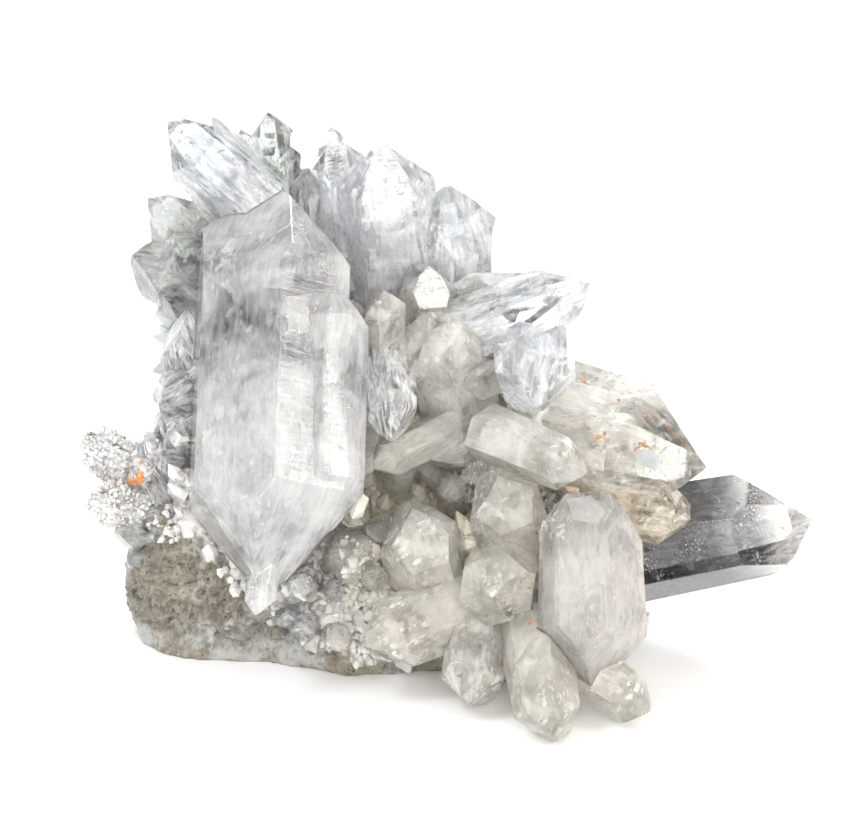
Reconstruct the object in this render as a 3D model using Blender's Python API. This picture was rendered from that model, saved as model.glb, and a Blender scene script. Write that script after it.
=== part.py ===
"""Quartz crystal cluster: clear points grown on a hand-sized piece of drusy rock.

Run it with: blender --background --python part.py
Metres, +Z up, -Y towards the front. The rock stands on its flat base at z = 0.

Crystals and rock are laid out in the cluster's own display frame, in millimetres: u runs to
the right, v up along a plane that leans back by LEAN, and w out of that plane to the front.
"""

import math
import random

import bmesh
import bpy
from mathutils import Matrix, Vector, noise

# Driving dimensions, in millimetres and degrees
MM = 0.001
LEAN = 20.0
FLOOR_DROP = 6.3
GAP = 0.3
CENTRE_SHIFT = (0.1, -28.15)

# Quartz: a tip face's normal stands this far from the crystal's long axis
RHOMB_ANGLE = 51.8
FACES = 6
# A crystal whose front direction is shorter than this is seen end on
END_ON = 0.3
# The block that each crystal is cut from, larger than any crystal
BLANK = 400.0

# Rock: detail of its lumps, size of its first facets, its relief, and the share kept
LUMP_DETAIL = 3
ROCK_VOXEL = 2.6
ROCK_RELIEF = 2.4
ROCK_GRAIN = 12.0
RELIEF_ROUGHNESS = 0.9
RELIEF_SCALING = 2.1
RELIEF_OCTAVES = 4
ROCK_KEEP = 0.2

# Vertices closer than this are one
WELD = 0.0005

# Bare rock lies below a line across the front: its left end, its height there, and its fall
BARE_LEFT = -64.0
BARE_TOP = 46.0
BARE_SLOPE = 0.78

# Druse: how many small crystals in all, their radius and length in radii, and their spacing
DRUSE_SEED = 11
DRUSE_COUNT = 78
DRUSE_RADIUS = (1.0, 2.3)
DRUSE_LENGTH = (1.3, 2.2)
DRUSE_ROOT = 2.5
DRUSE_SPACING = 3.8
# They tilt by up to this much, and lean to the front by this much
DRUSE_TILT = 0.5
DRUSE_FORWARD = 0.4
# They stand clear of the large crystals by this many radii, and of the floor by this much
DRUSE_CLEAR = 1.3
DRUSE_FLOOR = 6.0
# Only on rock that faces the front by at least this cosine
DRUSE_FACING = 0.15


lean = math.radians(LEAN)
RIGHT = Vector((1, 0, 0))
UP = Vector((0, math.sin(lean), math.cos(lean)))
OUT = Vector((0, -math.cos(lean), math.sin(lean)))
SHIFT = Vector((*CENTRE_SHIFT, -FLOOR_DROP))


def at(u, v, w):
    """A display-frame place in millimetres, as a world point in metres."""
    return (RIGHT * u + UP * v + OUT * w + SHIFT) * MM


def display(point):
    """A world point as (u, v, w) in millimetres."""
    local = point / MM - SHIFT
    return local.dot(RIGHT), local.dot(UP), local.dot(OUT)


class Crystal:
    """A quartz point from root to tip. radius is its middle's distance to a prism face.

    turn rolls it about its axis, from a prism face that looks to the front. squash
    brings the front and back faces closer. minor sets back every second tip face, so
    0 is a six-sided pyramid, and setback does so for single faces. blunt, a share of the
    radius, cuts the apex off. doubled gives the root a tip of its own. uneven varies the
    faces, by a seed.
    """

    def __init__(self, root, tip, radius, turn=0, squash=1.0, minor=0.3, blunt=0.0,
                 taper=1.5, doubled=False, uneven=0.12, seed=0, setback=None):
        self.root = at(*root)
        self.tip = at(*tip)
        self.radius = radius * MM
        self.turn = math.radians(turn)
        self.squash = squash
        self.minor = minor
        self.blunt = blunt
        self.taper = math.radians(taper)
        self.doubled = doubled
        self.uneven = uneven
        self.seed = seed
        self.setback = setback or {}

    def placement(self):
        """World matrix whose Z is the crystal's long axis and whose X looks to the front."""
        along = (self.tip - self.root).normalized()
        front = OUT - OUT.dot(along) * along
        if front.length < END_ON:
            front = UP - UP.dot(along) * along
        front.normalize()
        side = along.cross(front)
        matrix = Matrix((front, side, along)).transposed().to_4x4()
        matrix.translation = self.root
        return matrix

    def planes(self, grow=0.0):
        """(point, outward normal) of each face in the crystal's own frame, moved out by grow."""
        dice = random.Random(self.seed)
        length = (self.tip - self.root).length
        slant = math.radians(RHOMB_ANGLE)
        found = []
        for k in range(FACES):
            angle = self.turn + math.tau * k / FACES
            outward = Vector((math.cos(angle), math.sin(angle), 0))
            depth = abs(math.cos(angle))
            reach = self.radius * (1 - (1 - self.squash) * depth)
            reach *= 1 + self.uneven * dice.uniform(-1, 1)
            wall = Vector((*(outward.xy * math.cos(self.taper)), math.sin(self.taper)))
            found.append((outward * reach + Vector((0, 0, length / 2)), wall))
            setback = self.radius * (self.minor * (k % 2) + self.uneven * dice.random())
            setback += self.radius * self.setback.get(k, 0)
            pitch = Vector((*(outward.xy * math.sin(slant)), math.cos(slant)))
            found.append((Vector((0, 0, length + setback)), pitch))
            if self.doubled:
                setback = self.radius * (self.minor * ((k + 1) % 2) + self.uneven * dice.random())
                pitch = Vector((*(outward.xy * math.sin(slant)), -math.cos(slant)))
                found.append((Vector((0, 0, -setback)), pitch))
        if not self.doubled:
            found.append((Vector((0, 0, 0)), Vector((0, 0, -1))))
        if self.blunt:
            cap = Vector((0, 0, length - self.blunt * self.radius))
            found.append((cap, Vector((0, 0, 1))))
        return [(point + facing * grow, facing) for point, facing in found]

    def mesh(self, name, grow=0.0):
        """The closed convex solid, cut from a blank by its faces, in world space."""
        bm = bmesh.new()
        bmesh.ops.create_cube(bm, size=BLANK * MM)
        for point, facing in self.planes(grow):
            cut = bmesh.ops.bisect_plane(
                bm, geom=bm.verts[:] + bm.edges[:] + bm.faces[:], dist=1e-7,
                plane_co=point, plane_no=facing, clear_outer=True,
            )
            rim = [e for e in cut["geom_cut"] if isinstance(e, bmesh.types.BMEdge)]
            if rim:
                bmesh.ops.edgeloop_fill(bm, edges=rim)
        bmesh.ops.remove_doubles(bm, verts=bm.verts[:], dist=1e-6)
        bmesh.ops.recalc_face_normals(bm, faces=bm.faces[:])
        bm.transform(self.placement())
        mesh = bpy.data.meshes.new(name)
        bm.to_mesh(mesh)
        bm.free()
        return mesh

    def clearance(self, point):
        """How far a world point stands outside the crystal, negative inside it."""
        local = self.placement().inverted() @ point
        return max((local - place).dot(facing) for place, facing in self.planes())


# The pieces. Each list is one solid: crystals that grew into one another
CLUSTERS = {
    "great_front_crystal": [
        Crystal((-36.4, 27.8, 8), (-34, 109.2, -12), 15.2, turn=-25, minor=0.2, doubled=True,
                uneven=0.03, seed=3, taper=0.4, setback={5: 0.6}),
        Crystal((-27, 38, 7), (-25.2, 92.2, -4), 9.3, turn=-25, minor=0.3, doubled=True,
                uneven=0.06, seed=8, taper=0.3),
        Crystal((-35.5, 36, 7), (-37.8, 23.4, 10), 2.8, turn=10, seed=4),
    ],
    "top_crystals": [
        Crystal((-37, 105, -16), (-55.6, 121.5, -4), 6.3, turn=10, seed=5),
        Crystal((-34, 96, -30), (-36, 124.2, -18), 4.9, turn=20, seed=6),
        Crystal((-37, 98, -30), (-41.5, 121.0, -20), 3.6, turn=5, seed=7),
        Crystal((-31, 98, -28), (-31.5, 117.4, -16), 2.8, turn=15, seed=9),
        Crystal((-36, 96, -24), (-39, 114.0, -10), 4.6, turn=20, seed=10),
    ],
    "upper_crystals": [
        Crystal((-19, 92, -30), (-22.5, 119, -12), 5.8, turn=12, seed=12),
        Crystal((-10, 90, -30), (-13.2, 118.2, -3), 9.0, turn=0, seed=13, minor=0.15),
        Crystal((-23.4, 104, -20), (-23.0, 121.4, -15), 2.6, turn=12, seed=14),
        Crystal((1.5, 78, -34), (1.5, 109.2, -13), 8.2, turn=22, seed=15),
    ],
    "middle_crystals": [
        Crystal((-9, 75, -20), (28.4, 89.6, -2), 7.0, turn=20, seed=16),
        Crystal((2, 88, -18), (27.4, 88.8, -10), 3.8, turn=25, seed=17),
        Crystal((17.0, 84, -20), (18.2, 64.8, 2), 7.4, turn=-18, seed=18),
        Crystal((-12.8, 80, -16), (-11.2, 58.4, 2), 5.0, turn=14, seed=32),
        Crystal((-12.0, 72, -16), (-12.4, 88.2, -3), 4.0, turn=22, seed=44),
        Crystal((3.0, 64, -22), (-3.2, 83.4, -2), 7.4, turn=30, seed=33),
        Crystal((-4, 72, -26), (-3.2, 93.0, -8), 5.8, turn=10, seed=45),
    ],
    "rusty_crystals": [
        Crystal((20, 62, -26), (51.6, 53.4, -3), 12.4, turn=15, minor=0.15, seed=19),
        Crystal((8, 60, -10), (27.6, 51.6, 6), 4.9, turn=12, seed=20),
        Crystal((28, 48, -18), (47.8, 42.4, 4), 6.0, turn=10, seed=21),
        Crystal((-2, 58, -26), (13.6, 49.4, -8), 3.6, turn=15, seed=34),
        Crystal((7, 62, -22), (11, 59, -8), 3.4, turn=25, seed=36),
        Crystal((-6, 55, -26), (6.0, 46.0, -12), 3.0, turn=5, seed=35),
    ],
    "long_clear_point": [
        Crystal((18, 31.5, -30), (73.8, 42, -12), 10.2, turn=14, seed=22),
    ],
    "front_right_crystal": [
        Crystal((29.0, 9.6, 14), (28.4, 50, 8), 10.6, turn=-10, squash=0.8, blunt=0.25,
                doubled=True, seed=23),
    ],
    "lower_crystals": [
        Crystal((14.5, 36, -12), (10.4, 50.8, 8), 7.0, turn=10, seed=24),
        Crystal((13, 32, -8), (9.6, 27.2, 18), 7.2, turn=20, seed=25),
        Crystal((-2, 28, -12), (-6.6, 44.2, 8), 7.4, turn=5, seed=26, minor=0.5),
        Crystal((6, 26, -8), (-16.4, 17.4, 8), 6.4, turn=12, seed=27),
        Crystal((8, 24, -6), (4.6, 6.4, 14), 6.0, turn=18, seed=28),
    ],
    "foot_crystals": [
        Crystal((18, 20, 2), (21.0, 0.8, 29), 6.1, turn=8, seed=29),
        Crystal((20, 17, 0), (39.6, 4.4, 19), 5.0, turn=16, seed=30),
        Crystal((20, 20, 4), (16.0, 10, 21), 4.0, turn=0, seed=31),
    ],
    "left_crystals": [
        Crystal((-48, 96, -34), (-60.6, 107, -24), 6.6, turn=8, seed=37),
        Crystal((-48, 89, -33), (-63.6, 95.5, -22), 7.4, turn=27, seed=38),
        Crystal((-50, 92, -30), (-54.0, 98, -16), 5.2, turn=12, seed=39),
    ],
    "left_middle_crystals": [
        Crystal((-48, 66, -26), (-51.8, 84, -12), 6.4, turn=18, seed=40),
        Crystal((-50, 70, -24), (-57.0, 66, -10), 4.6, turn=4, seed=41),
    ],
    "left_edge_points": [
        Crystal((-57, 47, -30), (-74.0, 58.8, -18), 4.6, turn=15, seed=42),
        Crystal((-58, 44, -26), (-72.4, 45.4, -14), 4.2, turn=5, seed=43),
    ],
}


# Base colour of each piece, and its roughness
LOOKS = {
    "great_front_crystal": ((0.80, 0.80, 0.79), 0.16),
    "top_crystals": ((0.80, 0.83, 0.84), 0.12),
    "upper_crystals": ((0.80, 0.82, 0.83), 0.13),
    "middle_crystals": ((0.76, 0.76, 0.73), 0.12),
    "rusty_crystals": ((0.78, 0.73, 0.66), 0.14),
    "long_clear_point": ((0.36, 0.38, 0.40), 0.08),
    "front_right_crystal": ((0.76, 0.73, 0.71), 0.18),
    "lower_crystals": ((0.72, 0.71, 0.66), 0.16),
    "foot_crystals": ((0.72, 0.71, 0.65), 0.16),
    "left_crystals": ((0.66, 0.69, 0.67), 0.14),
    "left_middle_crystals": ((0.78, 0.79, 0.80), 0.14),
    "left_edge_points": ((0.66, 0.69, 0.72), 0.16),
    "drusy_rock": ((0.47, 0.44, 0.37), 0.75),
}

# The rock as overlapping lumps: centre (u, v, w) and half sizes, in millimetres
LUMPS = {
    "left_foot": ((-42, 31, -30), (25, 25, 20)),
    "middle_foot": ((-13, 24, -25), (32, 20, 19)),
    "right_foot": ((17, 25, -17), (22, 19, 19)),
    "right_front": ((27, 26, -8), (10, 16, 14)),
    "middle_rise": ((-2, 73, -27), (20, 18, 12)),
    "front_wall": ((-34, 58, -26), (15, 34, 16)),
    "heel": ((-12, 32, -50), (38, 27, 17)),
    "back": ((-13, 56, -40), (40, 30, 16)),
    "upper_left": ((-43, 84, -38), (16, 24, 12)),
    "upper_middle": ((-17, 88, -40), (25, 21, 14)),
    "right_shoulder": ((14, 52, -32), (17, 19, 13)),
}

# Single small crystals fused to the rock: root, tip and radius
PLACED_DRUSE = [
    ((-22, 44, -14), (-17.4, 44.6, 2), 2.6),
    ((-20, 33, -16), (-17.6, 36.0, 1), 4.4),
    ((-33, 26, -16), (-27.6, 31.0, 3), 2.8),
    ((-49, 56, -24), (-54.0, 61.6, -6), 3.0),
    ((-49, 46, -22), (-53.8, 49.8, -6), 3.0),
    ((-54, 34, -30), (-64.4, 33.0, -20), 3.6),
    ((-54, 28, -32), (-64.0, 27.0, -22), 3.0),
    ((-50, 40, -30), (-64.0, 41.0, -18), 4.0),
    ((-27, 22, -16), (-29.0, 20.5, -1), 2.2),
    ((-24, 20, -14), (-20.4, 18.0, 1), 2.0),
]


def new_object(name, mesh):
    obj = bpy.data.objects.new(name, mesh)
    bpy.context.scene.collection.objects.link(obj)
    return obj


def helper(name, mesh):
    """A cutter or filler for a Boolean, left out of renders."""
    obj = new_object(name, mesh)
    obj.hide_render = True
    obj.display_type = "WIRE"
    return obj


def joined(name, meshes):
    """One mesh that holds all the given closed shapes."""
    bm = bmesh.new()
    for mesh in meshes:
        bm.from_mesh(mesh)
    whole = bpy.data.meshes.new(name)
    bm.to_mesh(whole)
    bm.free()
    return whole


def add_boolean(obj, operation, other, solver="EXACT"):
    modifier = obj.modifiers.new(other.name, "BOOLEAN")
    modifier.operation = operation
    modifier.solver = solver
    modifier.object = other


def islands(bm):
    """The mesh's separate bodies, as sets of vertices."""
    unseen = set(bm.verts)
    found = []
    while unseen:
        island = set()
        edge = [unseen.pop()]
        while edge:
            vert = edge.pop()
            island.add(vert)
            near = {e.other_vert(vert) for e in vert.link_edges} & unseen
            unseen -= near
            edge.extend(near)
        found.append(island)
    return found


def bake(obj):
    """Applies the object's modifiers, then drops the chips that a cut has set loose."""
    bpy.context.view_layer.update()
    graph = bpy.context.evaluated_depsgraph_get()
    mesh = bpy.data.meshes.new_from_object(obj.evaluated_get(graph))
    obj.modifiers.clear()
    bm = bmesh.new()
    bm.from_mesh(mesh)
    bmesh.ops.remove_doubles(bm, verts=bm.verts[:], dist=WELD * MM)
    bmesh.ops.dissolve_degenerate(bm, edges=bm.edges[:], dist=WELD * MM)
    bodies = islands(bm)
    keep = max(bodies, key=lambda body: sum(e.calc_length() for v in body for e in v.link_edges))
    loose = [v for body in bodies if body is not keep for v in body]
    bmesh.ops.delete(bm, geom=loose, context="VERTS")
    bm.to_mesh(mesh)
    bm.free()
    mesh.materials.clear()
    obj.data = mesh


def boxes_meet(first, second):
    for axis in range(3):
        one = [v.co[axis] for v in first.vertices]
        two = [v.co[axis] for v in second.vertices]
        if min(one) > max(two) or min(two) > max(one):
            return False
    return True


def build_clusters():
    """Joins each list of crystals, and cuts it back from those that grew before it."""
    earlier = []
    for name, crystals in CLUSTERS.items():
        shapes = [crystal.mesh(name) for crystal in crystals]
        obj = new_object(name, shapes[0])
        for k, shape in enumerate(shapes[1:], 1):
            add_boolean(obj, "UNION", helper(f"{name}_grown_{k}", shape))
        for k, crystal in enumerate(earlier):
            wider = crystal.mesh(f"{name}_clear_of_{k}", GAP * MM)
            if any(boxes_meet(wider, shape) for shape in shapes):
                add_boolean(obj, "DIFFERENCE", helper(wider.name, wider))
        bake(obj)
        earlier += crystals
    return earlier


def lump_mesh(name, centre, halves):
    bm = bmesh.new()
    bmesh.ops.create_icosphere(bm, subdivisions=LUMP_DETAIL, radius=1)
    for vert in bm.verts:
        u, v, w = (c + h * x for c, h, x in zip(centre, halves, vert.co))
        vert.co = at(u, v, w)
    mesh = bpy.data.meshes.new(name)
    bm.to_mesh(mesh)
    bm.free()
    return mesh


def build_bare_rock():
    """The rock without its druse: lumps melted together, roughened, and cut flat below."""
    rock = new_object("drusy_rock", joined("lumps", [lump_mesh(n, *l) for n, l in LUMPS.items()]))
    melt = rock.modifiers.new("melt", "REMESH")
    melt.mode = "VOXEL"
    melt.voxel_size = ROCK_VOXEL * MM
    bake(rock)
    mesh = rock.data
    shifts = []
    for vert in mesh.vertices:
        place = Vector(display(vert.co)) / ROCK_GRAIN
        grain = noise.fractal(place, RELIEF_ROUGHNESS, RELIEF_SCALING, RELIEF_OCTAVES)
        shifts.append(vert.normal * grain * ROCK_RELIEF * MM)
    for vert, shift in zip(mesh.vertices, shifts):
        vert.co += shift
    thin = rock.modifiers.new("thin", "DECIMATE")
    thin.ratio = ROCK_KEEP
    bake(rock)
    bm = bmesh.new()
    bm.from_mesh(rock.data)
    cut = bmesh.ops.bisect_plane(
        bm, geom=bm.verts[:] + bm.edges[:] + bm.faces[:], dist=1e-6,
        plane_co=(0, 0, 0), plane_no=(0, 0, -1), clear_outer=True,
    )
    rim = [e for e in cut["geom_cut"] if isinstance(e, bmesh.types.BMEdge)]
    bmesh.ops.edgeloop_fill(bm, edges=rim)
    bmesh.ops.recalc_face_normals(bm, faces=bm.faces[:])
    bm.to_mesh(rock.data)
    bm.free()
    return rock


def is_bare(u, v):
    """True on the lower left of the front, where the rock shows."""
    return v < BARE_TOP - BARE_SLOPE * (u - BARE_LEFT)


def druse(rock, crystals):
    """Small crystals, placed and scattered, that stay clear of the large ones."""
    dice = random.Random(DRUSE_SEED)
    found = [Crystal(*small, seed=k) for k, small in enumerate(PLACED_DRUSE)]
    taken = [crystal.tip for crystal in found]
    faces = [f for f in rock.data.polygons if f.normal.dot(OUT) > DRUSE_FACING]
    dice.shuffle(faces)
    for face in faces:
        if len(found) >= DRUSE_COUNT:
            break
        radius = dice.uniform(*DRUSE_RADIUS)
        u, v, w = display(face.center)
        if is_bare(u, v) or face.center.z < DRUSE_FLOOR * MM:
            continue
        if any((face.center - place).length < DRUSE_SPACING * MM for place in taken):
            continue
        if min(c.clearance(face.center) for c in crystals) < DRUSE_CLEAR * radius * MM:
            continue
        tilt = Vector([dice.uniform(-DRUSE_TILT, DRUSE_TILT) for _ in range(3)])
        along = (face.normal + OUT * DRUSE_FORWARD + tilt).normalized()
        tip = display(face.center + along * radius * dice.uniform(*DRUSE_LENGTH) * MM)
        root = display(face.center - along * radius * DRUSE_ROOT * MM)
        found.append(Crystal(root, tip, radius, turn=dice.uniform(0, 60), seed=len(found)))
        taken.append(face.center)
    return found


def build_rock(crystals):
    """The rock with its druse, and a socket for every large crystal."""
    rock = build_bare_rock()
    small = druse(rock, crystals)
    for k, crystal in enumerate(small):
        add_boolean(rock, "UNION", helper(f"druse_{k}", crystal.mesh("druse")))
    bake(rock)
    for k, crystal in enumerate(crystals):
        wider = crystal.mesh(f"socket_{k}", GAP * MM)
        # The exact solver loses the rock where the left crystals leave a thin wall
        solver = "MANIFOLD" if crystal in CLUSTERS["left_crystals"] else "EXACT"
        if boxes_meet(wider, rock.data):
            add_boolean(rock, "DIFFERENCE", helper(wider.name, wider), solver)
    bake(rock)
    return rock


def paint():
    for name, (colour, roughness) in LOOKS.items():
        material = bpy.data.materials.new(name)
        material.use_nodes = True
        shader = material.node_tree.nodes["Principled BSDF"]
        shader.inputs["Base Color"].default_value = (*colour, 1)
        shader.inputs["Roughness"].default_value = roughness
        shader.inputs["Metallic"].default_value = 0
        bpy.data.objects[name].data.materials.append(material)


def main():
    for obj in list(bpy.data.objects):
        bpy.data.objects.remove(obj)
    crystals = build_clusters()
    build_rock(crystals)
    paint()


main()
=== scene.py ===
# Quartz crystal cluster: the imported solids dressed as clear, milky and rust-stained quartz on drusy rock
import math
import random

import bmesh
import bpy
import numpy as np
from mathutils import Matrix, Vector, noise


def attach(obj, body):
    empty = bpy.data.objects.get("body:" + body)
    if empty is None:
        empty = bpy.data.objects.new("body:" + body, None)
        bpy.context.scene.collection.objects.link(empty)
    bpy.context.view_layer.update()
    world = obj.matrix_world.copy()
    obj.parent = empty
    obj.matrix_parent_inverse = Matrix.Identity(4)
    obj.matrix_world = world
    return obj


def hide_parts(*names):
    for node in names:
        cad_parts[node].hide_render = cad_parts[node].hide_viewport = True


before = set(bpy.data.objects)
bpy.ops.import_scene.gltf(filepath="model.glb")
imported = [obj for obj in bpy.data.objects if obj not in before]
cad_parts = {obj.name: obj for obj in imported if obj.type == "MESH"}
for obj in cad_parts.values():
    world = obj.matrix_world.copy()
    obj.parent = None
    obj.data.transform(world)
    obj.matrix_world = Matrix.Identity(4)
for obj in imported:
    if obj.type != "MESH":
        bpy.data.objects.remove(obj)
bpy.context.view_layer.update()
mm = 0.001

# The cluster is laid out on a display plane: u to the right, v up, w out to the front, in millimetres
leanAngle = math.radians(20)
right = Vector((1, 0, 0))
up = Vector((0, math.sin(leanAngle), math.cos(leanAngle)))
out = Vector((0, -math.cos(leanAngle), math.sin(leanAngle)))
shift = Vector((0.1, -28.15, -6.3))


def place(u, v, w):
    return (right * u + up * v + out * w + shift) * mm


def fromPhoto(x, y, w):  # a pixel of the photograph, at depth w
    return place((x - 446) / 5, (731 - y) / 5, w)


print("frame loaded:", len(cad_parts), "nodes")


# Crystals: six prism faces and six tip faces around a long axis, as the solids have them
quartz = {"tipSlant": 51.8, "faces": 6, "endOn": 0.3, "ior": 1.544, "edgeCut": 14, "sameFace": 0.8, "edge": 0.28}


def point(root, tip, radius, turn=0, squash=1.0, minor=0.3, blunt=0.0, taper=1.5, doubled=False,
          uneven=0.12, seed=0, setback=None, look="clear"):
    return {"root": place(*root), "tip": place(*tip), "radius": radius * mm, "turn": math.radians(turn),
            "squash": squash, "minor": minor, "blunt": blunt, "taper": math.radians(taper),
            "doubled": doubled, "uneven": uneven, "seed": seed, "setback": setback or {}, "look": look}


def axisFrame(crystal):  # Z along the crystal, X towards the front
    along = (crystal["tip"] - crystal["root"]).normalized()
    front = out - out.dot(along) * along
    if front.length < quartz["endOn"]:
        front = up - up.dot(along) * along
    front.normalize()
    matrix = Matrix((front, along.cross(front), along)).transposed().to_4x4()
    matrix.translation = crystal["root"]
    return matrix


def facePlanes(crystal, grow=0.0):  # point and outward normal of each face, in the crystal's own frame
    dice = random.Random(crystal["seed"])
    length = (crystal["tip"] - crystal["root"]).length
    radius, slant = crystal["radius"], math.radians(quartz["tipSlant"])
    found = []
    for k in range(quartz["faces"]):
        angle = crystal["turn"] + math.tau * k / quartz["faces"]
        outward = Vector((math.cos(angle), math.sin(angle), 0))
        reach = radius * (1 - (1 - crystal["squash"]) * abs(math.cos(angle)))
        reach *= 1 + crystal["uneven"] * dice.uniform(-1, 1)
        wall = Vector((*(outward.xy * math.cos(crystal["taper"])), math.sin(crystal["taper"])))
        found.append((outward * reach + Vector((0, 0, length / 2)), wall))
        back = radius * (crystal["minor"] * (k % 2) + crystal["uneven"] * dice.random())
        back += radius * crystal["setback"].get(k, 0)
        found.append((Vector((0, 0, length + back)), Vector((*(outward.xy * math.sin(slant)), math.cos(slant)))))
        if crystal["doubled"]:
            back = radius * (crystal["minor"] * ((k + 1) % 2) + crystal["uneven"] * dice.random())
            found.append((Vector((0, 0, -back)), Vector((*(outward.xy * math.sin(slant)), -math.cos(slant)))))
    if not crystal["doubled"]:
        found.append((Vector((0, 0, 0)), Vector((0, 0, -1))))
    if crystal["blunt"]:
        found.append((Vector((0, 0, length - crystal["blunt"] * radius)), Vector((0, 0, 1))))
    return [(spot + facing * grow, facing) for spot, facing in found]


def prepare(crystal):  # what the later steps ask of a crystal again and again
    crystal["frame"] = axisFrame(crystal)
    crystal["inverse"] = crystal["frame"].inverted()
    crystal["length"] = (crystal["tip"] - crystal["root"]).length
    turn = crystal["frame"].to_3x3()
    planes = [(crystal["frame"] @ base, turn @ facing) for base, facing in facePlanes(crystal)]
    crystal["facing"] = np.array([facing for base, facing in planes])
    crystal["reach"] = np.array([base.dot(facing) for base, facing in planes])
    return crystal


def crystalBlock(crystal, grow=0.0):  # the crystal alone, cut from a block by its face planes
    block = bmesh.new()
    bmesh.ops.create_cube(block, size=3 * crystal["length"])
    for base, facing in facePlanes(crystal, grow):
        cut = bmesh.ops.bisect_plane(block, geom=block.verts[:] + block.edges[:] + block.faces[:], plane_co=base,
                                     plane_no=facing, clear_outer=True)
        rim = [item for item in cut["geom_cut"] if isinstance(item, bmesh.types.BMEdge)]
        if rim:
            bmesh.ops.contextual_create(block, geom=rim)
    bmesh.ops.transform(block, matrix=crystal["frame"], verts=block.verts[:])
    bmesh.ops.recalc_face_normals(block, faces=block.faces[:])
    return block


def pourInto(heap, block):  # adds one small mesh to a larger one, and tells how many faces came
    mesh = meshOf(block, "block")
    heap.from_mesh(mesh)
    return len(mesh.polygons)


def outside(crystal, spots):  # distance of each world point outside the crystal, negative inside it
    return (spots @ crystal["facing"].T - crystal["reach"]).max(axis=1)


def readPoints(mesh, what="co"):
    values = np.empty(len(mesh.vertices) * 3)
    if what == "co":
        mesh.vertices.foreach_get("co", values)
    else:
        mesh.vertex_normals.foreach_get("vector", values)
    return values.reshape(-1, 3)


def addPiece(name, mesh):
    obj = bpy.data.objects.new(name, mesh)
    bpy.context.scene.collection.objects.link(obj)
    return obj


def meshOf(heap, name, finishes=()):
    mesh = bpy.data.meshes.new(name)
    heap.to_mesh(mesh)
    heap.free()
    for finish in finishes:
        mesh.materials.append(finish)
    return mesh


def settle(obj):  # modifiers into the mesh
    bpy.context.view_layer.update()
    mesh = bpy.data.meshes.new_from_object(obj.evaluated_get(bpy.context.evaluated_depsgraph_get()))
    obj.modifiers.clear()
    obj.data = mesh
    return obj


def finishPiece(obj, slot, *nodes):
    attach(obj, "root")
    if nodes:
        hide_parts(*nodes)


# Node helpers
def feed(tree, node, feeds):  # each input gets a link, a colour or a plain value
    for key, value in feeds.items():
        socket = node.inputs[key]
        if isinstance(value, bpy.types.NodeSocket):
            tree.links.new(value, socket)
        else:
            socket.default_value = (*value, 1) if socket.type == "RGBA" else value


def addNode(tree, kind, feeds=None, **settings):
    node = tree.nodes.new(kind)
    for key, value in settings.items():
        setattr(node, key, value)
    feed(tree, node, feeds or {})
    return node


def newMaterial(name):
    material = bpy.data.materials.new(name)
    material.use_nodes = True
    tree = material.node_tree
    return material, tree, tree.nodes["Principled BSDF"]


def objectPlace(tree):
    return addNode(tree, "ShaderNodeTexCoord").outputs["Object"]


def fromAttribute(tree, name):
    return addNode(tree, "ShaderNodeAttribute", attribute_name=name).outputs["Fac"]


def growthPlace(tree):  # along and across each face of a crystal
    return addNode(tree, "ShaderNodeUVMap", uv_map="growth").outputs["UV"]


def noiseAt(tree, coords, scale, detail=4.0, roughness=0.55, distortion=0.0, stretch=None):
    if stretch:
        coords = addNode(tree, "ShaderNodeMapping", {"Vector": coords, "Scale": stretch}).outputs["Vector"]
    return addNode(tree, "ShaderNodeTexNoise", {"Vector": coords, "Scale": scale, "Detail": detail,
                                                "Roughness": roughness, "Distortion": distortion}).outputs["Fac"]


def ramp(tree, source, *stops):  # stops are (place, value or colour)
    node = addNode(tree, "ShaderNodeValToRGB", {"Fac": source})
    band = node.color_ramp
    while len(band.elements) < len(stops):
        band.elements.new(0.5)
    for element, (spot, colour) in zip(band.elements, stops):
        element.position = spot
        element.color = (*colour, 1) if isinstance(colour, tuple) else (colour, colour, colour, 1)
    return node.outputs["Color"]


def maths(tree, operation, first, second, third=0.0, clamp=False):
    return addNode(tree, "ShaderNodeMath", {0: first, 1: second, 2: third},
                   operation=operation, use_clamp=clamp).outputs[0]


def swing(tree, source, centre, gain):  # how far a value is from its centre, times a gain
    return maths(tree, "MULTIPLY", maths(tree, "SUBTRACT", source, centre), gain)


def awayFrom(tree, coords, centre, reach):  # distance from a place, in shares of a reach
    away = addNode(tree, "ShaderNodeVectorMath", {0: coords, 1: place(*centre)}, operation="DISTANCE")
    return maths(tree, "DIVIDE", away.outputs["Value"], reach * mm)


def blendColour(tree, share, first, second, blend="MIX"):
    return addNode(tree, "ShaderNodeMix", {0: share, 6: first, 7: second},
                   data_type="RGBA", blend_type=blend).outputs[2]


def bumpFrom(tree, height, strength, distance):
    return addNode(tree, "ShaderNodeBump", {"Height": height, "Strength": strength,
                                            "Distance": distance}).outputs["Normal"]


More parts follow.
